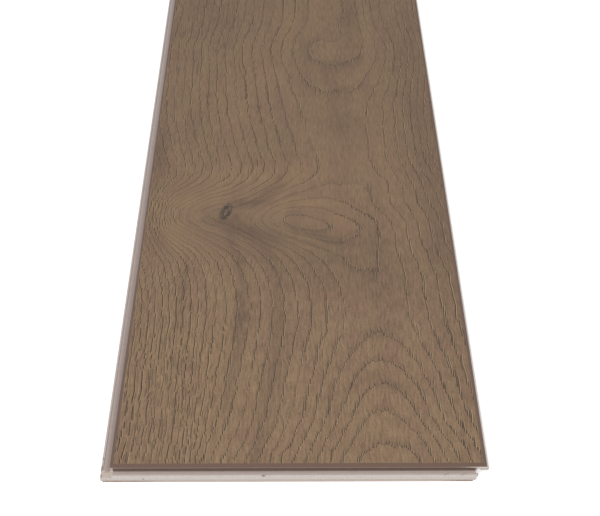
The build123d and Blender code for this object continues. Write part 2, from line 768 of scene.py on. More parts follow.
@dataclass(frozen=True)
class PoreLines:
    """The dark pores of the oak: lines at the whole ring numbers, and fewer and fainter ones between.

    Steepness is how fast the ring number climbs along the plank, in rings to the millimetre.
    """

    # how far a line reaches beyond its ring number, in rings, and its least width in millimetres
    start: float = 0.05
    reach: float = 0.2
    crown_reach: float = -0.04
    least_width: float = 1.2
    tuft_width: float = 1.6

    # how much of the line is full dark, less on the crowns, where pores thin out like hairs
    solid: float = 0.7
    crown_solid: float = -0.6

    # on the crowns each column starts early or late, by a chance part of so many millimetres along, and
    # of no more than so many rings
    comb_along: float = 9.0
    comb_most: float = 0.09

    # longer hairs on the flanks of the near cathedral
    hair_reach: float = 0.3
    hair_across: Span = (0, 20)
    hair_along: Span = (200, 150)
    hair_steepness: Span = (0.006, 0.015)

    # gaps in the lines, by column
    gap_noise: Grain = Grain(1, 22, 2.0)
    gap_step: float = 3.1
    gap_edge: Span = (0.2, 0.3)

    # lines that are weak as a whole, by ring, and less weak in the near cathedral
    weak_noise: Grain = Grain(1, 120, 5.0)
    weak_step: float = 3.7
    weak_edge: Span = (0.3, 0.6)
    weak_strength: float = 0.5
    cathedral_gain: float = 0.25
    cathedral_across: Span = (0, 20)
    cathedral_along: Span = (390, 320)

    # a full line, and what strengthens it: busy wood, crowns, the right side and fraying
    full_strength: float = 0.9
    busy_gain: float = 0.05
    crown_gain: float = 0.1
    right_gain: float = 0.1
    right_across: Span = (40, 80)
    right_along: Span = (450, 300)
    tuft_gain: float = 0.35

    # what weakens it: plain wood, by its busy number, and steepness
    plain: Span = (-1.0, -0.1)
    steep_loss: float = 0.6
    steep: Span = (0.07, 0.16)

    # fainter lines half-way to the next ring, in busy wood
    halfway: float = 0.3
    halfway_spread: float = 0.4
    halfway_gap: Span = (0.5, 0.55)
    halfway_strength: float = 0.5

    # loose pores, in a few cells of each column, whose length is a share of the cell
    cell_length: float = 17.0
    cell_shift: float = 17.0
    loose_share: float = 0.008
    loose_busy: float = 0.15
    loose_length: float = 0.2
    loose_spread: float = 0.5
    loose_fade: float = 0.15
    loose_edge: float = 0.01
    loose_least: float = 0.25
    loose_more: float = 0.45

    # the steepness at which only the lines are left, since the rings turn round the knot there
    turning: Span = (0.04, 0.1)

    def turned(self, wood: Wood) -> Value:
        """Is 1 where the rings turn round the knot."""
        return abs(wood.climb).ramp(*self.turning)

    def phase(self, wood: Wood) -> Value:
        """Works out where each place lies between two pore lines.

        A column's pores start level across its width. Where the rings run across the plank, each column
        starts a little earlier or later than the next, like the teeth of a worn comb.

        Args:
            wood: What is known of each place.

        Returns:
            The share of a ring that each place is beyond the last pore line.
        """
        comb = (wood.climb * self.comb_along).at_most(self.comb_most).at_least(-self.comb_most)
        level = wood.ring - wood.drift * wood.off
        return (level + comb * wood.slow * (wood.early - 0.5)).fraction()

    def zone(self, wood: Wood) -> Value:
        """Works out how far the pore lines reach.

        Args:
            wood: What is known of each place.

        Returns:
            The share of a ring that a line reaches beyond its whole number.
        """
        flank = abs(wood.climb).ramp(*self.hair_steepness) * wood.y.ramp(*self.hair_along)
        hairs = flank * wood.x.ramp(*self.hair_across) * (1 - wood.slow) * self.hair_reach
        reach = wood.long * (self.reach + hairs + wood.slow * self.crown_reach)
        # on the crowns most hairs are short and a few are long
        reach = reach * (1 - wood.slow + wood.slow * wood.long)
        least = wood.crowd * (self.least_width + wood.tufted * self.tuft_width)
        return (self.start + reach).at_least(least)

    def strength(self, wood: Wood) -> Value:
        """Works out how strong each pore line is.

        Args:
            wood: What is known of each place.

        Returns:
            The strength, about 1 for a full line.
        """
        chance = self.weak_noise.on(wood.recipe, wood.ring.whole() * self.weak_step, wood.y)
        cathedral = wood.x.ramp(*self.cathedral_across) * wood.y.ramp(*self.cathedral_along)
        least = self.weak_strength + cathedral * self.cathedral_gain
        strength = least + (1 - least) * chance.ramp(*self.weak_edge)
        strength = strength.at_least(wood.slow * self.full_strength) * wood.busy.ramp(*self.plain)
        right = wood.x.ramp(*self.right_across) * wood.y.ramp(*self.right_along)
        busy = wood.busy.at_least(0.0)
        gain = self.full_strength + busy * self.busy_gain + wood.slow * self.crown_gain
        strength = strength * (gain + right * self.right_gain)
        loss = abs(wood.climb).ramp(*self.steep) * self.steep_loss
        return strength * (1 - loss + wood.tufted * self.tuft_gain)

    def cut(self, wood: Wood, phase: Value, strength: Value) -> Value:
        """Puts together the pores of the lines, those half-way between them and the loose ones.

        Args:
            wood: What is known of each place.
            phase: Where each place lies between two pore lines.
            strength: How strong the lines are.

        Returns:
            How dark the pores of each column are.
        """
        zone = self.zone(wood)
        gaps = self.gap_noise.on(wood.recipe, wood.column * self.gap_step, wood.y)
        lines = phase.ramp(zone, zone * (self.solid + wood.slow * self.crown_solid))
        lines = lines * gaps.ramp(*self.gap_edge).at_least(wood.slow) * strength
        between = (phase + self.halfway + self.halfway_spread * wood.early).fraction()
        between = between.ramp(zone, zone * self.solid) * gaps.ramp(*self.halfway_gap)
        between = between * wood.busy.at_least(0.0) * self.halfway_strength
        others = self.loose_pores(wood).at_least(between) * (1 - self.turned(wood))
        return lines.at_least(others)

    def loose_pores(self, wood: Wood) -> Value:
        """Makes short pores between the lines, one in a few cells of each column.

        Args:
            wood: What is known of each place.

        Returns:
            How dark the pores are, from 0 to 1.
        """
        cells = wood.y / self.cell_length + wood.early * self.cell_shift
        cell = cells.whole()
        rare, reach, faint = wood.recipe.chances(wood.column, cell)
        few = self.loose_share + wood.busy * self.loose_busy
        length = reach * self.loose_spread + self.loose_length
        start_to_end = (cells - cell).ramp(length + self.loose_fade, length)
        strength = self.loose_least + faint * self.loose_more
        return rare.ramp(few + self.loose_edge, few) * start_to_end * strength


@dataclass(frozen=True)
class OakGround:
    """The wood between the pores: clouds, bands, patches and fine grain."""

    brown: Colour = paint(141, 114, 93)
    straw: Colour = paint(147, 122, 96)
    amber: Colour = paint(158, 130, 99)
    dusk: Colour = paint(111, 90, 75)

    cloud: Grain = Grain(14, 60, 3.0, 2.0)
    cloud_edge: Span = (0.3, 0.7)
    band: Grain = Grain(5, 120, 4.0, 2.0)
    band_share: float = 0.15
    level: float = 0.925
    amber_share: float = 0.7
    dusk_share: float = 0.65

    # each ring is darker beyond its pore line, most of all on the crowns and in the first rings
    season: Span = (0.5, 0.0)
    season_shade: float = 0.1
    crown_shade: float = 0.3
    first_shade: float = 0.12
    first_across: Span = (0, 20)
    first_along: Span = (180, 80)

    # dark and light streaks that follow the rings where they run aslant
    flow: Grain = Grain(1, 120, 6.0)
    flow_pace: float = 1.3
    flow_steepness: Span = (0.03, 0.12)
    flow_shade: float = 1.6

    # fine grain: along the plank, or along the rings round the knot, and fainter inside the eye
    streak: Grain = Grain(1.8, 50, 7.0, 2.0)
    streak_share: float = 0.2
    fibre: Grain = Grain(1.4, 13, 8.0)
    fibre_share: float = 0.6
    fibre_near: float = 0.2
    speck: Grain = Grain(1.3, 3, 5.0)
    speck_share: float = 0.22
    speck_near: float = 0.23
    near_part: Span = (450, 100)
    swept: Grain = Grain(1, 16, 8.0, 2.0)
    swept_pace: float = 4.0
    swept_share: float = 0.6
    eye: Window = Window(-20, 34, 298, 330, 14, 14)
    eye_calm: float = 0.6

    def colour(self, wood: Wood, phase: Value, turned: Value, shade: Value, glow: Value) -> Value:
        """Colours the wood.

        Args:
            wood: What is known of each place.
            phase: Where each place lies between two pore lines.
            turned: Is 1 where the rings turn round the knot.
            shade: How dark the print's patches are.
            glow: How pale and yellow they are.

        Returns:
            The wood's colour.
        """
        recipe = wood.recipe
        flow = self.flow.on(recipe, wood.ring * self.flow_pace, wood.y)
        flow = (flow - 0.5) * abs(wood.climb).ramp(*self.flow_steepness)
        first = wood.x.ramp(*self.first_across) * wood.y.ramp(*self.first_along)
        season = self.season_shade + wood.slow * self.crown_shade + first * self.first_shade
        shade = shade + phase.ramp(*self.season) * season + flow * self.flow_shade
        cloud = self.cloud.on(recipe, wood.drawn, wood.y)
        colour = recipe.mix(cloud.ramp(*self.cloud_edge), self.brown, self.straw)
        colour = recipe.mix((glow - flow) * self.amber_share, colour, self.amber)
        colour = recipe.mix(shade * self.dusk_share, colour, self.dusk)
        band = self.band.on(recipe, wood.drawn, wood.y)
        light = self.level + self.band_share * band + self.fine(wood, turned)
        return recipe.scale(colour, light)

    def fine(self, wood: Wood, turned: Value) -> Value:
        """Works out the fine grain, which is stronger at the near end.

        Args:
            wood: What is known of each place.
            turned: Is 1 where the rings turn round the knot.

        Returns:
            How much lighter the grain makes each place.
        """
        recipe, x, y = wood.recipe, wood.drawn, wood.y
        near = y.ramp(*self.near_part)
        streak = self.streak_share * (self.streak.on(recipe, x, y) - 0.5)
        fibre = (self.fibre.on(recipe, x, y) - 0.5) * (self.fibre_share + near * self.fibre_near)
        speck = (self.speck.on(recipe, x, y) - 0.5) * (self.speck_share + near * self.speck_near)
        straight = streak + fibre
        swept = (self.swept.on(recipe, wood.ring * self.swept_pace, x) - 0.5) * self.swept_share
        calm = self.eye.on(x, y) * self.eye_calm
        return straight * (1 - calm) + turned * (swept - straight) + speck


@dataclass(frozen=True)
class KnotMark:
    """The small cracked knot, as a dark oval with a torn rim that leans across as it goes along."""

    colour: Colour = paint(58, 57, 58)
    share: float = 0.85
    half_width: float = 4.0
    half_length: float = 12.0
    lean: float = 0.15
    crack: Grain = Grain(2.2, 7, 6.0, 2.0)

    # the rim's place in half widths from the middle, how far the crack noise bends it, and its tears
    rim_out: float = 0.75
    rim_bend: float = 1.6
    rim_edge: Span = (0.35, 0.05)
    rim_least: float = 0.4
    rim_torn: Span = (0.35, 0.6)

    # cracks run where the noise is at this level, inside the rim
    split_level: float = 0.52
    split_edge: Span = (0.06, 0.02)
    split_reach: Span = (1.3, 0.9)

    def over(self, wood: Wood, rings: GrowthRings, below: Value) -> Value:
        """Paints the knot over a colour.

        Args:
            wood: What is known of each place.
            rings: The growth rings, which say where the knot is.
            below: The colour so far.

        Returns:
            The colour with the knot in it.
        """
        crack = self.crack.on(wood.recipe, wood.x, wood.y)
        up = wood.y - rings.knot_along
        wide = (wood.x - rings.knot_across - up * self.lean) / self.half_width
        tall = up / self.half_length
        out = (wide * wide + tall * tall).root()
        rim = abs(out - self.rim_out + (crack - 0.5) * self.rim_bend).ramp(*self.rim_edge)
        rim = rim * (self.rim_least + crack.ramp(*self.rim_torn) * (1 - self.rim_least))
        split = abs(crack - self.split_level).ramp(*self.split_edge) * out.ramp(*self.split_reach)
        return wood.recipe.mix(rim.at_least(split) * self.share, below, self.colour)


@dataclass(frozen=True)
class OakPrint:
    """The printed and embossed oak face under its clear wear layer, with paint on its bevel."""

    columns: PoreColumns = PoreColumns()
    lines: PoreLines = PoreLines()
    ground: OakGround = OakGround()
    knot: KnotMark = KnotMark()
    bevel: BevelPaint = BevelPaint()

    # a pore, off its column's middle by chance, up to half its sway to either side
    pore: Colour = paint(50, 43, 40)
    sway: float = 0.315
    pore_edge: Span = (0.46, 0.22)
    pore_share: float = 0.8
    paler_right: float = -0.05
    paler_across: Span = (0, 30)
    darker_left: float = 0.12
    darker_across: Span = (-40, -90)
    darker_along: Span = (250, 100)

    # a painted highlight on the pore's right edge, stronger towards the right side
    glint: Colour = paint(206, 177, 141)
    glint_offset: float = 0.5
    glint_edge: Span = (0.32, 0.1)
    glint_share: float = 0.75
    glint_right: float = 0.15
    glint_across: Span = (30, 100)

    gloss: float = 0.3
    roughness: float = 0.52
    line_roughness: float = 0.1
    pore_depth: float = 0.12

    # how far below the face the bevel's paint starts, and how much lower it does along the sides
    paint_start: Span = (0.06, 0.1)
    paint_drop: float = 0.4
    paint_drop_along: Span = (0, 500)

    def material(self, face_height: float, rings: GrowthRings) -> bpy.types.Material:
        """Makes the film's material, which reads the attributes growth and tone of the mesh.

        Args:
            face_height: The face's height. What lies lower than the embossing goes is painted bevel.
            rings: The growth rings, which say where the knot is.

        Returns:
            The material.
        """
        recipe = Recipe(bpy.data.materials.new("oak_print"))
        shade, glow, busy = recipe.attribute("tone")
        wood = self.columns.read(recipe, busy)
        phase = self.lines.phase(wood)
        strength = self.lines.strength(wood)
        colour = self.ground.colour(wood, phase, self.lines.turned(wood), shade, glow)
        colour, dark = self.pores(wood, self.lines.cut(wood, phase, strength), colour)
        colour = self.knot.over(wood, rings, colour)
        painted = self.painted(wood, face_height)
        recipe.principled(
            Base_Color=self.bevel.over(recipe, painted, colour, wood.x, wood.y),
            Roughness=self.roughness + self.line_roughness * strength,
            Specular_IOR_Level=self.gloss,
            Normal=recipe.bump(1 - dark * (1 - painted), self.pore_depth),
        )
        return recipe.owner

    def pores(self, wood: Wood, cut: Value, below: Value) -> tuple[Value, Value]:
        """Paints the pores over the wood, each with a painted highlight on its right edge.

        Args:
            wood: What is known of each place.
            cut: How dark the pores of each column are.
            below: The wood's colour.

        Returns:
            The colour with the pores in it, and how deep in a pore each place is.
        """
        beside = wood.off + (wood.aside - 0.5) * self.sway
        dark = cut * abs(beside).ramp(*self.pore_edge)
        # painted highlight beside each pore
        lit = cut * abs(beside - self.glint_offset).ramp(*self.glint_edge)
        light = self.glint_share + wood.x.ramp(*self.glint_across) * self.glint_right
        colour = wood.recipe.mix(lit * light, below, self.glint)
        left = wood.x.ramp(*self.darker_across) * wood.y.ramp(*self.darker_along) * self.darker_left
        depth = self.pore_share + wood.x.ramp(*self.paler_across) * self.paler_right + left
        return wood.recipe.mix(dark * depth, colour, self.pore), dark

    def painted(self, wood: Wood, face_height: float) -> Value:
        """Works out where the bevel's paint is.

        Args:
            wood: What is known of each place.
            face_height: The face's height.

        Returns:
            Is 1 on the painted bevel.
        """
        drop = wood.y.ramp(*self.paint_drop_along) * self.paint_drop
        height = wood.z + self.bevel.along_side(wood.x, wood.y) * drop
        start, full = self.paint_start
        return height.ramp(face_height - start, face_height - full)


@dataclass(frozen=True)
class Spot:
    """Where each place on the core is, and how far out it lies beyond the left joint and the near one."""

    x: Value
    y: Value
    z: Value
    out_left: Value
    out_near: Value


@dataclass(frozen=True)
class Nick:
    """A dent, spot or scratch on a milled edge, as a small oval that leans across as it goes along."""

    across: float
    along: float
    up: float
    half_width: float
    half_length: float
    lean: float = 0.0
    depth: float = 0.8
    edge: Span = (1.3, 0.3)

    def on(self, spot: Spot) -> Value:
        """Works out how much of the nick shows.

        Args:
            spot: Where each place is.

        Returns:
            The nick's depth in its middle, and 0 outside it.
        """
        up = spot.z - self.up
        forward = spot.y - self.along
        wide = (spot.x - self.across - forward * self.lean) / self.half_width
        tall = forward / self.half_length
        return (wide * wide + tall * tall + up * up).ramp(*self.edge) * self.depth


# three dents at the near left corner, a rubbed spot, a dark spot and two scratches on the near end's lip
NICKS = (
    Nick(-119.7, 13, 4.2, 1.0, 2.0),
    Nick(-119.7, 3, 4.2, 1.2, 3.6),
    Nick(-119.7, -3.5, 3.1, 1.0, 1.6),
    Nick(-93.8, -5.5, 2.4, 0.8, 2.0, depth=0.4),
    Nick(-21.2, -5.4, 4.8, 1.3, 0.6),
    Nick(89.5, -4.6, 5.0, 0.5, 1.6, 1.5),
    Nick(100.0, -4.6, 5.0, 0.4, 1.6, 1.5),
)


@dataclass(frozen=True)
class MilledCore:
    """Mineral-filled vinyl, pressed in sheets and milled along its edges, with its bevel painted.

    The grooves below the bevel are painted dark brown as painted shade, and the tops of the lips are
    painted darker than their fronts as painted shade.
    """

    fresh: Colour = paint(208, 200, 194)
    ragged: Colour = paint(202, 188, 178)
    # the tops of the lips: painted shade, darkest next to the joint, a paler rim, painted light on the
    # side lip's slope, and the near lip's darker top
    rim: Colour = paint(206, 192, 186)
    shaded_lip: Colour = paint(184, 166, 158)
    lighter: Colour = paint(214, 201, 195)
    end_lip: Colour = paint(191, 176, 169)
    corner: Colour = paint(206, 191, 180)
    # painted shade in the grooves below the bevel
    groove_shade: Colour = paint(119, 103, 93)
    joint: Colour = paint(150, 129, 118)
    # painted light: the tongue and the right end of the joint faces are paler than the core
    tongue: Colour = paint(232, 222, 212)
    # real scuffs on the nicks, and painted shade on the tongue's lower edge
    scuff_and_shade: Colour = paint(126, 108, 98)
    bevel: BevelPaint = BevelPaint()

    # mottle of the pressed sheets, the cutter's tooth marks, which run aslant, and fine mineral grains
    mottle: Lumps = Lumps(7, 7, 2, 3.0)
    mottle_share: float = 0.1
    mottle_roughness: float = 0.15
    tooth: Lumps = Lumps(1.1, 30, 2.5)
    tooth_share: float = 0.12
    tooth_relief: float = 0.7
    fine: Lumps = Lumps(0.6, 0.6, 0.6)
    fine_share: float = 0.08
    fine_relief: float = 0.3
    level: float = 0.85

    # the lower corner of the lips is torn a little by the cutter
    chamfer: float = 2.3
    chamfer_torn: float = 0.8
    torn_wave: float = 1.2
    torn_edge: Span = (0.3, 0.7)

    # heights of the milled section, and the soft edges between two colours
    lip_floor: float = 3.3
    end_floor: float = 3.5
    end_ridge_top: float = 4.9
    groove_roof: float = 6.15
    joint_foot: float = 6.3
    bevel_edge: float = 6.9
    floor_edge: float = 0.05
    ridge_edge: float = 0.15
    soft: float = 0.1

    # the side lip's top, out from the joint: its face, its painted shade, darkest next to the joint, its
    # slope, painted lighter as painted light, and where it grows paler along the plank
    lip_face: float = 5.4
    lip_shade_ends: Span = (2.0, 5.2)
    slope_middle: float = 4.1
    slope_edge: Span = (0.6, 0.2)
    slope_paler: float = 0.7
    paler_along: Span = (-50, 700)
    far_paler: float = 0.5

    # the grooves, out from their joints, and where they end
    end_groove_front: Span = (3.4, 3.0)
    end_groove_back: Span = (-1.6, -1.4)
    end_groove_right: Span = (108.8, 106.5)
    end_groove_left: Span = (-1.2, -2.2)
    side_groove_front: Span = (0.3, 0.0)
    side_groove_back: Span = (-1.8, -1.6)
    side_groove_start: Span = (-4.0, -6.0)

    # the joint faces are brownish; on the right they take the tongue's pale colour as painted light, and
    # on the left they are a little paler; the near left corner is painted paler too
    pale_joint_right: Span = (95, 112)
    pale_joint_left: Span = (-102, -112)
    pale_joint_left_share: float = 0.1
    corner_across: Span = (-2.0, -1.6)
    corner_along: Span = (-0.1, 0.1)
    corner_up: Span = (3.1, 3.3)

    # the tongue, and how far up its lower edge has painted shade
    tongue_up: Span = (4.3, 4.4)
    tongue_shade_up: Span = (5.2, 4.6)
    tongue_shade_share: float = 0.6

    # the cutter's marks, at a steady distance along every edge
    mark_pitch: float = 2.2
    mark_depth: float = 0.015

    # the bevel's paint reaches less far down on the left side, away from the near end
    worn_across: Span = (-3.0, -2.8)
    worn_along: Span = (20, 300)
    worn_drop: float = 0.4
    paint_edge: float = 0.02

    gloss: float = 0.3
    roughness: float = 0.58
    relief: float = 0.1

    def material(self) -> bpy.types.Material:
        """Makes the core's material.

        Returns:
            The material.
        """
        recipe = Recipe(bpy.data.materials.new("milled_core"))
        x, y, z = recipe.place()
        spot = Spot(x, y, z, -HALF_WIDTH - x, 0 - y)
        mottle = self.mottle.on(recipe, x, y, z)
        tooth = self.tooth.on(recipe, x + y, x, z)
        fine = self.fine.on(recipe, x, y, z)
        torn = z.ramp(self.chamfer, self.chamfer - self.chamfer_torn) + (mottle - 0.5) * self.torn_wave
        colour = recipe.mix(torn.ramp(*self.torn_edge), self.fresh, self.ragged)
        colour = self.lips(recipe, spot, colour)
        colour = self.grooves(recipe, spot, colour)
        colour = self.joints(recipe, spot, colour)
        marks = ((x + y) * (math.tau / self.mark_pitch)).maths("SINE") * self.mark_depth
        light = self.level + self.mottle_share * mottle + self.tooth_share * tooth
        colour = recipe.scale(colour, light + self.fine_share * fine + marks)
        for nick in NICKS:
            colour = recipe.mix(nick.on(spot), colour, self.scuff_and_shade)
        worn = spot.out_left.ramp(*self.worn_across) * y.ramp(*self.worn_along) * self.worn_drop
        painted = (z - worn).ramp(self.bevel_edge - self.paint_edge, self.bevel_edge + self.paint_edge)
        relief = (tooth * self.tooth_relief + fine * self.fine_relief) * (1 - painted)
        recipe.principled(
            Base_Color=self.bevel.over(recipe, painted, colour, x, y),
            Roughness=self.roughness + self.mottle_roughness * mottle,
            Specular_IOR_Level=self.gloss,
            Normal=recipe.bump(relief, self.relief),
        )
        return recipe.owner

    def above_floor(self, spot: Spot) -> Value:
        """Is 1 above the floor of the lips."""
        return spot.z.ramp(self.lip_floor - self.floor_edge, self.lip_floor)

    def below_joint(self, spot: Spot) -> Value:
        """Is 1 below the faces that meet in a joint."""
        return spot.z.ramp(self.joint_foot + self.soft, self.joint_foot)

    def lips(self, recipe: Recipe, spot: Spot, colour: Value) -> Value:
        """Paints the tops of the lips, with painted shade and painted light.

        Args:
            recipe: The core's recipe.
            spot: Where each place is.
            colour: The colour so far.

        Returns:
            The colour with the lips in it.
        """
        out = spot.out_left
        side = out.ramp(0.0, self.soft) * out.ramp(self.lip_face, self.lip_face - self.soft)
        # painted shade on the side lip's top, darkest next to the joint, and painted light on its slope
        lip_shade = recipe.mix(out.ramp(*self.lip_shade_ends), self.shaded_lip, self.rim)
        slope = abs(out - self.slope_middle).ramp(*self.slope_edge)
        paler = (spot.y.ramp(*self.paler_along) * self.far_paler).at_least(slope * self.slope_paler)
        lip_shade = recipe.mix(paler, lip_shade, self.lighter)
        # painted shade: the top of the near end's lip is darker than the core's front
        end = spot.z.ramp(self.end_ridge_top - self.ridge_edge, self.end_ridge_top)
        end = end * spot.out_near.ramp(0.0, self.soft)
        end = end * spot.z.ramp(self.groove_roof, self.groove_roof - self.soft)
        colour = recipe.mix(side * self.above_floor(spot), colour, lip_shade)
        return recipe.mix(end, colour, self.end_lip)

    def grooves(self, recipe: Recipe, spot: Spot, colour: Value) -> Value:
        """Paints the grooves, with painted shade, dark brown, above their floor.

        Args:
            recipe: The core's recipe.
            spot: Where each place is.
            colour: The colour so far.

        Returns:
            The colour with the grooves in it.
        """
        end = spot.out_near.ramp(*self.end_groove_front) * spot.out_near.ramp(*self.end_groove_back)
        end = end * spot.x.ramp(*self.end_groove_right) * spot.out_left.ramp(*self.end_groove_left)
        side = spot.out_left.ramp(*self.side_groove_front) * spot.out_left.ramp(*self.side_groove_back)
        side = side * spot.out_near.ramp(*self.side_groove_start)
        groove = end.at_least(side) * self.above_floor(spot) * self.below_joint(spot)
        # painted shade: the grooves take the lip tops' darker colour, and are dark brown above their floor
        colour = recipe.mix(groove, colour, self.end_lip)
        shade_above_floor = spot.z.ramp(self.end_floor, self.end_floor + self.soft)
        return recipe.mix(groove * shade_above_floor, colour, self.groove_shade)

    def joints(self, recipe: Recipe, spot: Spot, colour: Value) -> Value:
        """Paints the faces that meet in a joint, the near left corner and the tongue, which is painted
        pale as painted light, with painted shade along its lower edge.

        Args:
            recipe: The core's recipe.
            spot: Where each place is.
            colour: The colour so far.

        Returns:
            The colour with the joints in it.
        """
        # painted light: the joint faces turn pale towards the right end
        pale_joint = spot.x.ramp(*self.pale_joint_left) * self.pale_joint_left_share
        pale_joint = spot.x.ramp(*self.pale_joint_right).at_least(pale_joint)
        face = spot.z.ramp(self.joint_foot, self.joint_foot + self.soft)
        colour = recipe.mix(face, colour, recipe.mix(pale_joint, self.joint, self.tongue))
        corner = spot.out_left.ramp(*self.corner_across) * spot.out_near.ramp(*self.corner_along)
        colour = recipe.mix(corner * spot.z.ramp(*self.corner_up), colour, self.corner)
        tongue = spot.x.ramp(HALF_WIDTH, HALF_WIDTH + self.soft) * spot.z.ramp(*self.tongue_up)
        # painted shade along the tongue's lower edge
        tongue_shade = spot.z.ramp(*self.tongue_shade_up) * self.tongue_shade_share
        tongue_shade = recipe.mix(tongue_shade, self.tongue, self.scuff_and_shade)
        return recipe.mix(tongue * self.below_joint(spot), colour, tongue_shade)


@dataclass(frozen=True)
class PadFoam:
    """Fine closed-cell foam, dyed brown, painted paler on its near face, least towards the corners."""

    skin: Colour = paint(176, 158, 146)
    cell: Colour = paint(140, 122, 110)
    pale_front: Colour = paint(204, 190, 180)
    cells: Lumps = Lumps(0.8, 0.8, 0.8, 3.0)
    cell_edge: Span = (0.35, 0.65)
    press: Grain = Grain(40, 40, 0.0, 2.0)
    press_share: float = 0.2
    level: float = 0.9
    pale_front_from: Span = (-4.9, -5.1)
    pale_front_middle: Span = (100, 80)
    pale_front_least: float = 0.1
    pale_front_more: float = 0.8
    roughness: float = 0.8
    cell_roughness: float = 0.1
    relief: float = 0.2

    def material(self) -> bpy.types.Material:
        """Makes the pad's material.

        Returns:
            The material.
        """
        recipe = Recipe(bpy.data.materials.new("pad_foam"))
        x, y, z = recipe.place()
        cells = self.cells.on(recipe, x, y, z)
        colour = recipe.mix(cells.ramp(*self.cell_edge), self.cell, self.skin)
        colour = recipe.scale(colour, self.level + self.press_share * self.press.on(recipe, x, y))
        pale_front = abs(x).ramp(*self.pale_front_middle) * self.pale_front_more + self.pale_front_least
        colour = recipe.mix(y.ramp(*self.pale_front_from) * pale_front, colour, self.pale_front)
        recipe.principled(
            Base_Color=colour,
            Roughness=self.roughness + self.cell_roughness * cells,
            Normal=recipe.bump(cells, self.relief),
        )
        return recipe.owner


@contextmanager
def edit_mode() -> Iterator[None]:
    """Edits the active mesh inside the with block."""
    bpy.ops.object.mode_set(mode="EDIT")
    yield
    bpy.ops.object.mode_set(mode="OBJECT")


def coordinates(piece: bpy.types.Object) -> np.ndarray:
    """Reads where the piece's vertices are.

    Args:
        piece: A mesh.

    Returns:
        Its vertices as rows of x, y and z in metres.
    """
    flat = np.zeros(len(piece.data.vertices) * 3, np.float32)
    piece.data.vertices.foreach_get("co", flat)
    return flat.reshape(-1, 3).astype(float)


def keep(piece: bpy.types.Object, name: str, *numbers: np.ndarray) -> None:
    """Stores three numbers for each vertex, which the finish reads.

    Args:
        piece: The mesh that holds them.
        name: The name to read them by.
        numbers: Three rows, with a number for each vertex.
    """
    rows = np.stack(numbers, 1).astype(np.float32)
    attribute = piece.data.attributes.new(name, "FLOAT_VECTOR", "POINT")
    attribute.data.foreach_set("vector", rows.ravel())


